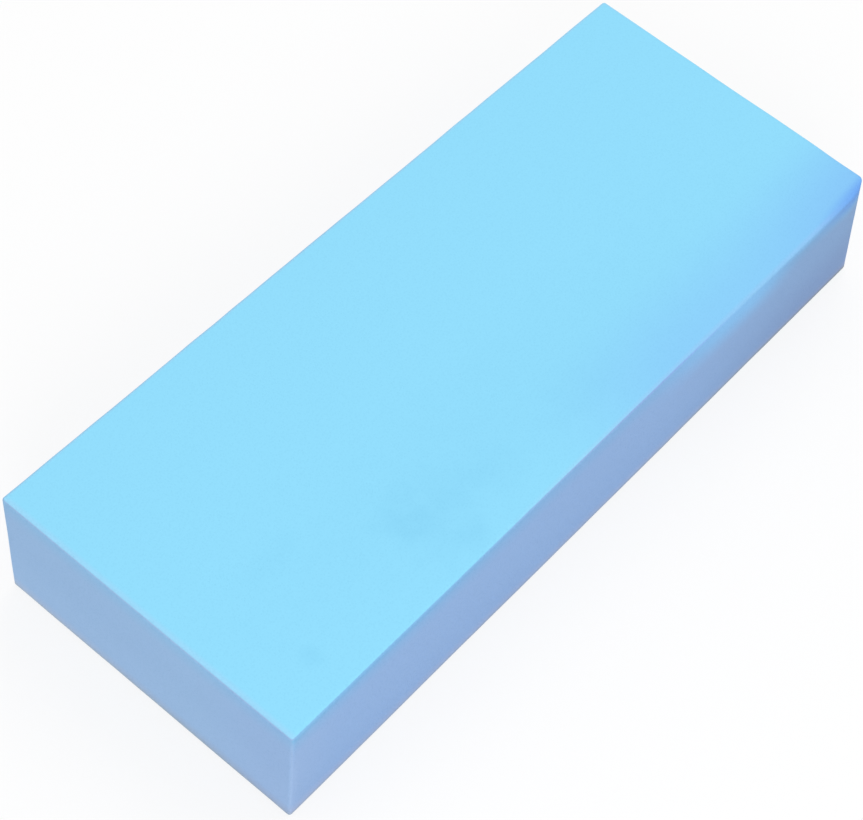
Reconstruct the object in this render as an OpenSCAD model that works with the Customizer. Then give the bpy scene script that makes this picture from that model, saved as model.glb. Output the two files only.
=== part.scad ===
// Painting sponge: one block of fine-pored foam, cut square, with its crisp edges just broken all round.
// One top corner has been pressed in by handling: its upright edge leans, and the long top edge bends in to it.
// The origin is the middle of the resting face. +Y runs along the length and +Z points up.

/* [Block] */
// Length of the block, along Y
block_length = 150; // [100:1:220]
// Width of the block, along X
block_width = 61; // [50:0.5:100]
// Height of the block, from the resting face to the top face
block_height = 25.5; // [12:0.5:50]

/* [Edges] */
// Radius of the edges and corners
edge_radius = 0.6; // [0.3:0.1:1.5]

/* [Pressed corner] */
// How far the far right top corner leans in across the width
lean_across = 1.6; // [0:0.1:3]
// How far that corner leans in along the length
lean_along = 1.8; // [0:0.1:4]
// Length of the long top edge that bends in towards that corner
bend_length = 6; // [4:1:40]

/* [Hidden] */
// Facets of a full circle
$fn = 32;
// Straight steps that make up the bend
bend_steps = 5;
// Colour of the foam's top face
foam_colour = [0.57, 0.87, 0.99];
// Overall size of the block
block_size = [block_width, block_length, block_height];
// Sides of the block on which the pressed corner lies
pressed_corner = [1, 1, 1];

// Ball inside the block that touches the faces on the given sides, or lies an inset away from them.
// A ball's facets lie a little inside its radius, so it is enlarged until they touch.
module edge_ball(sides, inset = [0, 0, 0]) {
    centre = block_size / 2 - inset - [edge_radius, edge_radius, edge_radius];
    translate([for (axis = [0:2]) sides[axis] * centre[axis]]) sphere(edge_radius / cos(180 / $fn));
}

// Balls along the bend, which follows a parabola from the straight part of the edge to the pressed corner.
module bent_edge() {
    for (step = [0:bend_steps]) {
        share = step / bend_steps;
        edge_ball(pressed_corner, [lean_across * share ^ 2, lean_along + bend_length * (1 - share), 0]);
    }
}

// Skin drawn tight over a ball in each square corner and over the bent edge.
module pressed_envelope() {
    hull() {
        for (x = [-1, 1], y = [-1, 1], z = [-1, 1]) {
            if ([x, y, z] != pressed_corner) edge_ball([x, y, z]);
        }
        bent_edge();
    }
}

// The whole sponge: the block as it was cut, rounded off and pressed in by its envelope.
module sponge_block() {
    color(foam_colour) translate([0, 0, block_height / 2]) {
        intersection() {
            cube(block_size, center = true);
            pressed_envelope();
        }
    }
}

sponge_block();
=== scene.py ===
# Painting sponge: one block of fine-pored pale blue foam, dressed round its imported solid.
# The part's own frame has +Y along the block, +X across it and +Z up. The photograph shows the top, the near
# end, on -Y, and the long side on +X, which is called the front here.
# Lengths are in metres, unless a comment gives another unit.
import math

import bpy
import numpy as np
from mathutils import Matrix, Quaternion, Vector, noise


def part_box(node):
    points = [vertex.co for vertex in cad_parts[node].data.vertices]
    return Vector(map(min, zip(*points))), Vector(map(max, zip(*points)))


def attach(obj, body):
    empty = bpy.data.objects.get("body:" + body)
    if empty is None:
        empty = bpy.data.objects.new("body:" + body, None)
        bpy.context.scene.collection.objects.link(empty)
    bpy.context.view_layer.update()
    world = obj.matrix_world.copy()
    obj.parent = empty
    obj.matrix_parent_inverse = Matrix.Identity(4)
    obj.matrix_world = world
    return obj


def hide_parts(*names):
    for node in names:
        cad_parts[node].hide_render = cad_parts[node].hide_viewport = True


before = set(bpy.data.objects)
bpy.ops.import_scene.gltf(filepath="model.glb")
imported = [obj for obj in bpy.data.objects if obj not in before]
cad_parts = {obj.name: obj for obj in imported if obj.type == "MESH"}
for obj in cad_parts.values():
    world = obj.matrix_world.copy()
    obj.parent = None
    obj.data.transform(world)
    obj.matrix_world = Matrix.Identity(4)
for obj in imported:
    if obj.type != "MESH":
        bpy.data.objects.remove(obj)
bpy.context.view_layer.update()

MM = 0.001
node_low, node_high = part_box("sponge_block")

# Middle and half sizes of the block, taken from its solid
middle = np.array((node_low + node_high) / 2)
half = np.array((node_high - node_low) / 2)

# Edges, and the far right top corner that leans in, as in the solid
EDGE_RADIUS = 0.6 * MM
LEAN_ACROSS = 1.6 * MM
LEAN_ALONG = 1.8 * MM
BEND_LENGTH = 6 * MM
LEAN_FADE = 50 * MM
BEND_FADE = 20 * MM

# Unevenness of the cut foam: the width of its swells, with their height or their share of the edge radius
FACE_SWELL = (32 * MM, 0.07 * MM)
FACE_RIPPLE = (7 * MM, 0.025 * MM)
EDGE_RIPPLE = (6 * MM, 0.2)

# Shifts that give the faces and the edges swells of their own
FACE_SHIFT = 7.3
EDGE_SHIFT = 3.1

# Mesh: places near an end of each side, then the step between
RIM_PLACES = np.array([0.0, 0.12, 0.25, 0.4, 0.6, 0.85, 1.2]) * MM
FACE_STEP = 0.8 * MM

# View of the photograph: angles in degrees, lens and sensor in millimetres
CAMERA_AZIMUTH = 35.38
CAMERA_ELEVATION = 54.54
CAMERA_ROLL = 6.68
CAMERA_DISTANCE = 370.66 * MM
CAMERA_AIM = Vector((6.96, -17.05, 26.0)) * MM
CAMERA_LENS = 96.90
CAMERA_SENSOR = 36.0
CAMERA_NEAREST = 10 * MM

# Colours of the foam, linear: broad faces, long sides, ends, and blue that spills from the top to the front
SKIN_COLOUR = (0.276, 0.702, 0.945)
SIDE_COLOUR = (0.311, 0.481, 0.785)
END_COLOUR = (0.328, 0.509, 0.770)
SPILL_COLOUR = (0.278, 0.615, 1.000)

# A fade is (start, end): nothing up to its start, full strength from its end on, and smooth between.
# A layer's fades name the values of FoamPlace that they follow: heights and gaps, in millimetres.

# Parts of the normal by which a surface faces sideways or upwards
SIDE_FACING = (0.3, 0.8)
TOP_FACING = (0.2, 0.6)

# Where the skin ends on a round edge, and how far it wraps round the near and the far half of a long edge.
# The change between the halves follows the gap to the near end, in millimetres.
SKIN_FACING = (0.45, 0.85)
NEAR_WRAP = -0.15
FAR_WRAP = 0.30
WRAP_FADE = (90, 115)

# Tints that multiply the colour of the cut sides, laid in this order: (faces, fades, tint). All but the tint
# on the front of the ends are painted light and shade.
CUT_TINTS_AND_PAINTED_LIGHT = {
    # Painted shade: darker towards the far end of the front, and low down there
    "far end of the front": ("on_front", {"far_gap": (65, 0)}, (0.88, 0.90, 0.89)),
    "low at the far end": ("on_front", {"far_gap": (50, 5), "z": (18, 4)}, (0.95, 0.90, 0.93)),
    # Painted shade: dark lines below the top edges, and below the near half of the front top edge
    "below the top edges": ("all_round", {"rim_depth": (6.0, 0.5)}, (0.86, 1.02, 1.02)),
    "near edge line": ("on_front", {"top_gap": (2.2, 0.5), "near_gap": (75, 15)}, (0.85, 1.00, 1.00)),
    "front of the ends": ("on_ends", {"front_gap": (22, 2)}, (0.975, 0.945, 0.98)),
    # Painted light against the shade near the floor: lighter low on the ends and at the foot
    "low on the ends": ("on_ends", {"z": (16, 3)}, (1.09, 1.07, 1.05)),
    "foot": ("all_round", {"z": (4.0, 0.8)}, (1.20, 1.03, 0.97)),
    # Painted shade near the floor: darker at the foot of the ends towards the front, and thin dark lines
    # along the foot
    "foot of the ends": ("on_ends", {"z": (4.0, 0.8), "front_gap": (58, 15)}, (0.88, 0.91, 0.91)),
    "foot line": ("all_round", {"z": (1.7, 0.4)}, (1.00, 0.93, 0.81)),
    "far foot line": ("on_front", {"z": (1.7, 0.4), "near_gap": (70, 140)}, (1.00, 0.95, 0.75)),
    # Painted highlights by the upright edges and at the near end of the front
    "upright edges": ("off_ends", {"upright_gap": (2.2, 0.3), "z": (21, 14)}, (1.07, 1.04, 1.02)),
    "near end of the front": ("on_front", {"near_gap": (12, 1)}, (1.055, 1.02, 0.995)),
}

# Blue that spills over the far half of the front top edge: (fades, strength)
SPILLS = {
    "line": ({"top_gap": (2.5, 0.6), "near_gap": (83, 108)}, 0.50),
    "patch": ({"top_gap": (10, 1), "near_gap": (83, 108), "far_gap": (19, 37)}, 0.82),
    "below the corner": ({"top_gap": (6, 1), "far_gap": (22, 3)}, 0.65),
}

# Painted highlight on the rim of the top, paler, in millimetres: narrower along the back and far edges,
# weaker along the front edge
RIM_HIGHLIGHT_TINT = (1.17, 0.955, 0.97)
RIM_FADE = (1.4, 0.3)
OUTER_NARROWING = 1.6
FRONT_RIM_HIGHLIGHT = {"front_gap": (1.1, 0.3), "near_gap": (40, 70), "far_gap": (5, 16)}
FRONT_RIM_HIGHLIGHT_STRENGTH = 0.8

# Painted shade in deeper blue along the far half of the top's front edge: (fades, strength)
MARGIN_SHADE_TINT = (0.62, 0.45, 0.93)
MARGIN_SHADES = {
    "far half": ({"front_gap": (18, 0), "near_gap": (61, 97)}, 0.24),
    "far end": ({"front_gap": (18, 0), "far_gap": (35, 0)}, 0.15),
}

# Painted shade of the deepest blue, at the pressed corner: its reach across and along the block, in
# millimetres, then its fades.
# Its first fade follows the distance from the corner, as a share of that reach.
CORNER_SHADE_TINT = (0.50, 0.55, 0.95)
CORNER_ACROSS = 2.8
CORNER_ALONG = 20
CORNER_SHADE_FADES = {"corner_share": (1.0, 0.15), "top_gap": (4.5, 0.5)}
CORNER_SHADE_STRENGTH = 0.68

# Faint smudges on the top face, and last a broad faint darkening over its front half, in millimetres: (x, y,
# half width, half length, strength)
SMUDGES = [
    (22.0, -34.0, 9.0, 8.0, 0.34),
    (18.5, -28.0, 8.0, 10.0, 0.25),
    (21.5, -18.0, 6.0, 9.0, 0.20),
    (23.0, -63.0, 2.4, 2.6, 0.40),
    (7.0, -54.0, 4.0, 8.0, 0.20),
    (15.5, -36.0, 6.0, 6.5, 0.25),
    (26.5, -30.0, 4.5, 4.0, 0.28),
    (21.5, 3.0, 7.0, 11.0, 0.17),
    (15.0, 0.0, 15.0, 90.0, 0.20),
]
SMUDGE_TINT = (0.88, 0.92, 0.945)

# Fade of a smudge, in shares of its half sizes, and the noise that makes it ragged, scaled per millimetre
SMUDGE_FADE = (1.1, 0.1)
RAGGED_SCALE = 0.28
RAGGED_DETAIL = 2.0
RAGGED_DEPTH = 0.9

# Pores: size and depth in millimetres, a fade in shares of the size. The cut is more open than the skin.
PORE_SIZE = 0.45
PORE_DEPTH = 0.05
PORE_FADE = (0.55, 0.1)
# Painted shade in the hollows of the pores
PORE_SHADE_TINT = (0.86, 0.90, 0.93)
CUT_OPENNESS = 0.50
SKIN_OPENNESS = 0.25

# Sheen of the foam, and the patches in which its roughness varies, scaled per millimetre
SPECULAR_LEVEL = 0.2
LEAST_ROUGHNESS = 0.86
ROUGHNESS_RANGE = 0.10
PATCH_SCALE = 0.12
PATCH_DETAIL = 4.0

# Light: level of the sky, then lamps as (name, place, aim, width, power)
SKY_LEVEL = 0.715
LAMPS = [
    ("overhead", (-0.10, 0.45, 0.70), (0.0, 0.0, 0.0), 0.7, 1.75),
    ("near_right", (0.38, -0.42, 0.34), (0.02, -0.05, 0.013), 0.3, 1.15),
    ("near_left", (-0.25, -0.50, 0.35), (0.0, -0.05, 0.013), 0.4, 0.1),
]

# Floor: half width, gap below the sponge, shades for bounced light and for a straight look, then the glow
# near the sponge and the distances over which it grows to full
FLOOR_REACH = 3.0
FLOOR_GAP = 0.05 * MM
FLOOR_GREY = 0.75
FLOOR_WHITE = 0.95
FLOOR_GLOW = 0.78
FLOOR_GLOW_FADE = (0.15, 0.55)
WHITE = (1.0, 1.0, 1.0)


def places_along(reach):
    """Places along one side from -reach to reach, close together at both ends, by the round edges."""
    span = reach - RIM_PLACES[-1]
    count = 2 * round(span / FACE_STEP)
    inner = np.linspace(-span, span, count + 1)[1:-1]
    return np.concatenate([-reach + RIM_PLACES, inner, (reach - RIM_PLACES)[::-1]])


def box_lattice(places):
    """Points and quads of a closed box, ruled at the given places along X, Y and Z."""
    shape = [len(p) for p in places]
    outside = np.zeros(shape, bool)
    outside[[0, -1]] = True
    outside[:, [0, -1]] = True
    outside[:, :, [0, -1]] = True
    number = np.full(shape, -1)
    number[outside] = np.arange(outside.sum())
    points = np.stack(np.meshgrid(*places, indexing="ij"), axis=-1)[outside]
    quads = []
    for axis in range(3):
        for end in (0, -1):
            face = np.take(number, end, axis=axis)
            quad = np.stack([face[:-1, :-1], face[1:, :-1], face[1:, 1:], face[:-1, 1:]], axis=-1)
            inward = (end == 0) != (axis == 1)
            quads.append(quad.reshape(-1, 4)[:, ::-1] if inward else quad.reshape(-1, 4))
    return points, np.concatenate(quads)


def noise_at(points, size, shift):
    """Smooth noise from about -1 to 1, with swells of the given size."""
    return np.array([noise.noise(Vector(p / size) + Vector((shift, shift, shift))) for p in points])


def fall(distance, reach):
    """1 at distance 0, falling evenly to 0 at reach."""
    return np.clip(1 - distance / reach, 0, 1)


def round_edges(points):
    """Rounds the edges by a slightly uneven radius. Gives the points and their outward directions."""
    size, share = EDGE_RIPPLE
    radius = EDGE_RADIUS * (1 + share * noise_at(points, size, EDGE_SHIFT))[:, None]
    core = np.clip(points, radius - half, half - radius)
    outward = points - core
    outward /= np.linalg.norm(outward, axis=1)[:, None]
    return core + outward * radius, outward


def lean_corner(points):
    """Leans the far right top corner in, with the end face and the last stretch of the long top edge."""
    rise = (points[:, 2] + half[2]) / (2 * half[2])
    across = (points[:, 0] + half[0]) / (2 * half[0])
    end_gap = half[1] - points[:, 1]
    bend = fall(end_gap, BEND_LENGTH) ** 2 * fall(half[0] - points[:, 0], BEND_FADE)
    moved = points.copy()
    moved[:, 0] -= LEAN_ACROSS * rise * bend
    moved[:, 1] -= LEAN_ALONG * rise * across * fall(end_gap, LEAN_FADE)
    return moved


def foam_block():
    """The sponge: a closed block with rounded edges, one leaning corner and gently uneven faces."""
    points, quads = box_lattice([places_along(h) for h in half])
    points, outward = round_edges(points)
    lift = sum(height * noise_at(points, size, FACE_SHIFT) for size, height in (FACE_SWELL, FACE_RIPPLE))
    free = 1 - np.clip(-outward[:, 2], 0, 1)
    points = lean_corner(points + outward * (lift * free)[:, None]) + middle
    mesh = bpy.data.meshes.new("foam_block")
    mesh.from_pydata(points.tolist(), [], quads.tolist())
    mesh.polygons.foreach_set("use_smooth", [True] * len(mesh.polygons))
    piece = bpy.data.objects.new("foam_block", mesh)
    bpy.context.scene.collection.objects.link(piece)
    return piece


class Graph:
    """Short calls for making and joining the nodes of one material or world."""

    def __init__(self, owner):
        owner.use_nodes = True
        self.tree = owner.node_tree
        self.tree.nodes.clear()

    def add(self, kind, inputs=None, **settings):
        """A new node with its settings made and its inputs fed."""
        made = self.tree.nodes.new(kind)
        for name, value in settings.items():
            setattr(made, name, value)
        for name, value in (inputs or {}).items():
            self.feed(made.inputs[name], value)
        return made

    def feed(self, socket, value):
        """Joins another node's output to a socket, or sets the socket's value."""
        if isinstance(value, bpy.types.NodeSocket):
            self.tree.links.new(value, socket)
        else:
            socket.default_value = value

    def maths(self, operation, first, second=0.0):
        """One sum of one or two values."""
        return self.add("ShaderNodeMath", {0: first, 1: second}, operation=operation).outputs[0]

    def chain(self, operation, values):
        """All the values joined by one operation."""
        joined = values[0]
        for value in values[1:]:
            joined = self.maths(operation, joined, value)
        return joined

    def product(self, *factors):
        return self.chain("MULTIPLY", factors)

    def total(self, *terms):
        return self.chain("ADD", terms)

    def most(self, *values):
        return self.chain("MAXIMUM", values)

    def length(self, vector):
        """The length of a vector."""
        return self.add("ShaderNodeVectorMath", {0: vector}, operation="LENGTH").outputs["Value"]

    def ramp(self, value, start, end):
        """0 where the value is at start or before it, 1 from end on, and smooth between."""
        inputs = {"Value": value, "From Min": start, "From Max": end}
        return self.add("ShaderNodeMapRange", inputs, interpolation_type="SMOOTHSTEP").outputs[0]

    def mottle(self, point, scale, detail):
        """Cloudy noise from 0 to 1."""
        inputs = {"Vector": point, "Scale": scale, "Detail": detail}
        return self.add("ShaderNodeTexNoise", inputs).outputs[0]

    def mix(self, share, first, second, blend_type="MIX"):
        """First colour, with a share of the second mixed or multiplied in."""
        inputs = {"Factor": share, 6: first, 7: second}
        return self.add("ShaderNodeMix", inputs, data_type="RGBA", blend_type=blend_type).outputs[2]

    def tint(self, share, colour, tint):
        """A colour, with a share of a tint multiplied in."""
        return self.mix(share, colour, rgba(tint), "MULTIPLY")

    def split(self, vector):
        """The X, Y and Z of a vector."""
        return self.add("ShaderNodeSeparateXYZ", {0: vector}).outputs[:3]


def rgba(colour):
    return (*colour, 1.0)


class FoamPlace:
    """Where a point of the foam lies: place, facing and gaps to the block's sides, in millimetres."""

    def __init__(self, graph):
        source = graph.add("ShaderNodeTexCoord")
        scaled = {0: source.outputs["Object"], "Scale": 1 / MM}
        self.point = graph.add("ShaderNodeVectorMath", scaled, operation="SCALE").outputs[0]
        self.x, self.y, self.z = graph.split(self.point)
        self.facing_x, self.facing_y, self.facing_z = graph.split(source.outputs["Normal"])
        self.measure_gaps(graph)
        self.find_faces(graph)
        # Depth below the top edges, counted from 1 mm higher on the ends
        self.rim_depth = graph.maths("ADD", self.top_gap, self.on_ends)

    def measure_gaps(self, graph):
        """Gaps to the sides and the upright edges, and to the pressed corner in shares of its reach."""
        low, high = (middle - half) / MM, (middle + half) / MM
        self.front_gap = graph.maths("SUBTRACT", float(high[0]), self.x)
        self.back_gap = graph.maths("SUBTRACT", self.x, float(low[0]))
        self.far_gap = graph.maths("SUBTRACT", float(high[1]), self.y)
        self.near_gap = graph.maths("SUBTRACT", self.y, float(low[1]))
        self.top_gap = graph.maths("SUBTRACT", float(high[2]), self.z)
        side_gap = graph.maths("MINIMUM", self.front_gap, self.back_gap)
        end_gap = graph.maths("MINIMUM", self.far_gap, self.near_gap)
        self.upright_gap = graph.most(side_gap, end_gap)
        across = graph.maths("DIVIDE", self.front_gap, CORNER_ACROSS)
        along = graph.maths("DIVIDE", self.far_gap, CORNER_ALONG)
        squares = graph.total(graph.product(across, across), graph.product(along, along))
        self.corner_share = graph.maths("SQRT", squares)

    def find_faces(self, graph):
        """1 on the faces that each name gives, and 0 on the others."""
        self.all_round = 1.0
        self.on_front = graph.ramp(self.facing_x, *SIDE_FACING)
        self.on_ends = graph.ramp(graph.maths("ABSOLUTE", self.facing_y), *SIDE_FACING)
        self.off_ends = graph.maths("SUBTRACT", 1.0, self.on_ends)
        self.on_top = graph.ramp(self.facing_z, *TOP_FACING)


def layer_share(graph, place, faces, fades, strength=1.0):
    """How strongly a layer of colour shows: on its faces only, and as far as all its fades let it."""
    ramps = [graph.ramp(getattr(place, gap), *fade) for gap, fade in fades.items()]
    return graph.product(getattr(place, faces), *ramps, strength)


def layer_shares(graph, place, faces, layers):
    """How strongly each layer of a set shows on the same faces."""
    return [layer_share(graph, place, faces, fades, strength) for fades, strength in layers.values()]


def skin_share(graph, place):
    """1 on the broad faces and 0 on the cut sides. The skin wraps further round a long edge's far half."""
    level = graph.maths("ABSOLUTE", place.facing_z)
    further = graph.product(graph.ramp(place.near_gap, *WRAP_FADE), FAR_WRAP - NEAR_WRAP)
    wrap = graph.product(graph.maths("ABSOLUTE", place.facing_x), graph.total(further, NEAR_WRAP))
    return graph.ramp(graph.total(level, wrap), *SKIN_FACING)


def cut_colour(graph, place):
    """Colour of the cut sides: one for long sides and one for ends, then the tints, mostly painted light and
    shade, and the spilled blue.
    """
    colour = graph.mix(place.on_ends, rgba(SIDE_COLOUR), rgba(END_COLOUR))
    for faces, fades, tint in CUT_TINTS_AND_PAINTED_LIGHT.values():
        colour = graph.tint(layer_share(graph, place, faces, fades), colour, tint)
    spill = graph.most(*layer_shares(graph, place, "on_front", SPILLS))
    return graph.mix(spill, colour, rgba(SPILL_COLOUR))


def rim_highlight_share(graph, place):
    """Strength of the painted highlight on the rim along the edges of the top face. It is weaker along the
    front edge.
    """
    outer = graph.product(graph.maths("MINIMUM", place.back_gap, place.far_gap), OUTER_NARROWING)
    others = graph.ramp(graph.maths("MINIMUM", place.near_gap, outer), *RIM_FADE)
    front = layer_share(graph, place, "all_round", FRONT_RIM_HIGHLIGHT, FRONT_RIM_HIGHLIGHT_STRENGTH)
    return graph.product(graph.most(others, front), place.on_top)


def smudge_share(graph, place):
    """Strength of the faint smudges on the top face, with ragged outlines."""
    ragged = graph.mottle(place.point, RAGGED_SCALE, RAGGED_DETAIL)
    wobble = graph.product(graph.maths("SUBTRACT", ragged, 0.5), RAGGED_DEPTH)
    spots = []
    for x, y, half_width, half_length, strength in SMUDGES:
        from_middle = graph.add("ShaderNodeMapping", {
            "Vector": place.point,
            "Location": (-x / half_width, -y / half_length, 0),
            "Scale": (1 / half_width, 1 / half_length, 0),
        })
        reach = graph.total(graph.length(from_middle.outputs[0]), wobble)
        spots.append(graph.product(graph.ramp(reach, *SMUDGE_FADE), strength))
    return graph.product(graph.total(*spots), place.on_top)


def foam_colour(graph, place, skin):
    """Colour of the foam without its pores: skin and cut sides, then the painted highlight on the rim,
    painted shade in deeper blue along the front margin and at the corner, and smudges.
    """
    colour = graph.mix(skin, cut_colour(graph, place), rgba(SKIN_COLOUR))
    # Painted shade in deeper blue: along the top's front margin, then at the pressed corner
    margin_shade = graph.total(*layer_shares(graph, place, "on_top", MARGIN_SHADES))
    corner = layer_share(graph, place, "all_round", CORNER_SHADE_FADES, CORNER_SHADE_STRENGTH)
    # Painted highlight along the top's rim
    colour = graph.tint(rim_highlight_share(graph, place), colour, RIM_HIGHLIGHT_TINT)
    colour = graph.tint(margin_shade, colour, MARGIN_SHADE_TINT)
    colour = graph.tint(corner, colour, CORNER_SHADE_TINT)
    return graph.tint(smudge_share(graph, place), colour, SMUDGE_TINT)


def foam_material():
    """Fine-pored foam: a smooth skin on the broad faces, and a more open cut on the sides."""
    material = bpy.data.materials.new("foam")
    graph = Graph(material)
    place = FoamPlace(graph)
    skin = skin_share(graph, place)
    cells = graph.add("ShaderNodeTexVoronoi", {"Vector": place.point, "Scale": 1 / PORE_SIZE})
    closed = graph.product(skin, CUT_OPENNESS - SKIN_OPENNESS)
    openness = graph.maths("SUBTRACT", CUT_OPENNESS, closed)
    pores = graph.product(graph.ramp(cells.outputs["Distance"], *PORE_FADE), openness)
    height = graph.maths("SUBTRACT", 1.0, pores)
    bump = graph.add("ShaderNodeBump", {"Height": height, "Distance": PORE_DEPTH * MM, "Strength": 1.0})
    patches = graph.mottle(place.point, PATCH_SCALE, PATCH_DETAIL)
    surface = graph.add("ShaderNodeBsdfPrincipled", {
        "Base Color": graph.tint(pores, foam_colour(graph, place, skin), PORE_SHADE_TINT),
        "Roughness": graph.total(graph.product(patches, ROUGHNESS_RANGE), LEAST_ROUGHNESS),
        "Specular IOR Level": SPECULAR_LEVEL,
        "Normal": bump.outputs["Normal"],
    })
    graph.add("ShaderNodeOutputMaterial", {"Surface": surface.outputs[0]})
    return material


def seen_straight(graph):
    """1 where the stage itself is seen, straight, in a gloss or through glass, and 0 for bounced light."""
    rays = graph.add("ShaderNodeLightPath").outputs
    return graph.most(rays["Is Camera Ray"], rays["Is Glossy Ray"], rays["Is Transmission Ray"])


def floor_material():
    """Matte and pale, with a white glow where it is seen, so it looks white and still takes a shadow."""
    material = bpy.data.materials.new("floor")
    graph = Graph(material)
    straight = seen_straight(graph)
    grey = graph.mix(straight, rgba([FLOOR_GREY] * 3), rgba([FLOOR_WHITE] * 3))
    matte = graph.add("ShaderNodeBsdfDiffuse", {"Color": grey})
    white = graph.add("ShaderNodeEmission", {"Color": rgba(WHITE), "Strength": 1.0})
    away = graph.length(graph.add("ShaderNodeTexCoord").outputs["Object"])
    rest_of_glow = graph.product(graph.ramp(away, *FLOOR_GLOW_FADE), 1 - FLOOR_GLOW)
    glow = graph.product(straight, graph.total(rest_of_glow, FLOOR_GLOW))
    both = graph.add("ShaderNodeMixShader", {0: glow, 1: matte.outputs[0], 2: white.outputs[0]})
    graph.add("ShaderNodeOutputMaterial", {"Surface": both.outputs[0]})
    return material


def make_floor():
    """Plain pale floor just below the sponge."""
    mesh = bpy.data.meshes.new("floor")
    height = node_low.z - FLOOR_GAP
    corners = [(-1, -1), (1, -1), (1, 1), (-1, 1)]
    points = [(x * FLOOR_REACH, y * FLOOR_REACH, height) for x, y in corners]
    mesh.from_pydata(points, [], [(0, 1, 2, 3)])
    mesh.materials.append(floor_material())
    floor = bpy.data.objects.new("floor", mesh)
    bpy.context.scene.collection.objects.link(floor)


def make_sky():
    """Even neutral light from all round, which looks white."""
    world = bpy.data.worlds.new("sky")
    bpy.context.scene.world = world
    graph = Graph(world)
    levels = {"Value": seen_straight(graph), "To Min": SKY_LEVEL, "To Max": 1.0}
    level = graph.add("ShaderNodeMapRange", levels).outputs[0]
    sky = graph.add("ShaderNodeBackground", {"Color": rgba(WHITE), "Strength": level})
    graph.add("ShaderNodeOutputWorld", {"Surface": sky.outputs[0]})


def make_lamp(name, place, aim, width, power):
    """One round soft lamp, neutral in colour, pointed at its aim."""
    lamp = bpy.data.lights.new(name, "AREA")
    lamp.shape = "DISK"
    lamp.size = width
    lamp.energy = power
    holder = bpy.data.objects.new(name, lamp)
    holder.location = place
    holder.rotation_mode = "QUATERNION"
    holder.rotation_quaternion = (Vector(aim) - Vector(place)).to_track_quat("-Z", "Y")
    bpy.context.scene.collection.objects.link(holder)


def make_camera():
    """Camera at the photograph's angle, tilted about its own line of sight."""
    around, above = math.radians(CAMERA_AZIMUTH), math.radians(CAMERA_ELEVATION)
    flat = math.cos(above)
    back = Vector((math.sin(around) * flat, -math.cos(around) * flat, math.sin(above)))
    data = bpy.data.cameras.new("camera")
    data.sensor_width = CAMERA_SENSOR
    data.lens = CAMERA_LENS
    data.clip_start = CAMERA_NEAREST
    camera = bpy.data.objects.new("camera", data)
    camera.location = CAMERA_AIM + back * CAMERA_DISTANCE
    camera.rotation_mode = "QUATERNION"
    tilt = Quaternion((0, 0, 1), math.radians(CAMERA_ROLL))
    camera.rotation_quaternion = (-back).to_track_quat("-Z", "Y") @ tilt
    bpy.context.scene.collection.objects.link(camera)
    bpy.context.scene.camera = camera


sponge = foam_block()
sponge.data.materials.append(foam_material())
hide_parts("sponge_block")
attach(sponge, "root")
make_floor()
make_sky()
for lamp_facts in LAMPS:
    make_lamp(*lamp_facts)
make_camera()
bpy.context.scene.view_settings.view_transform = "Standard"
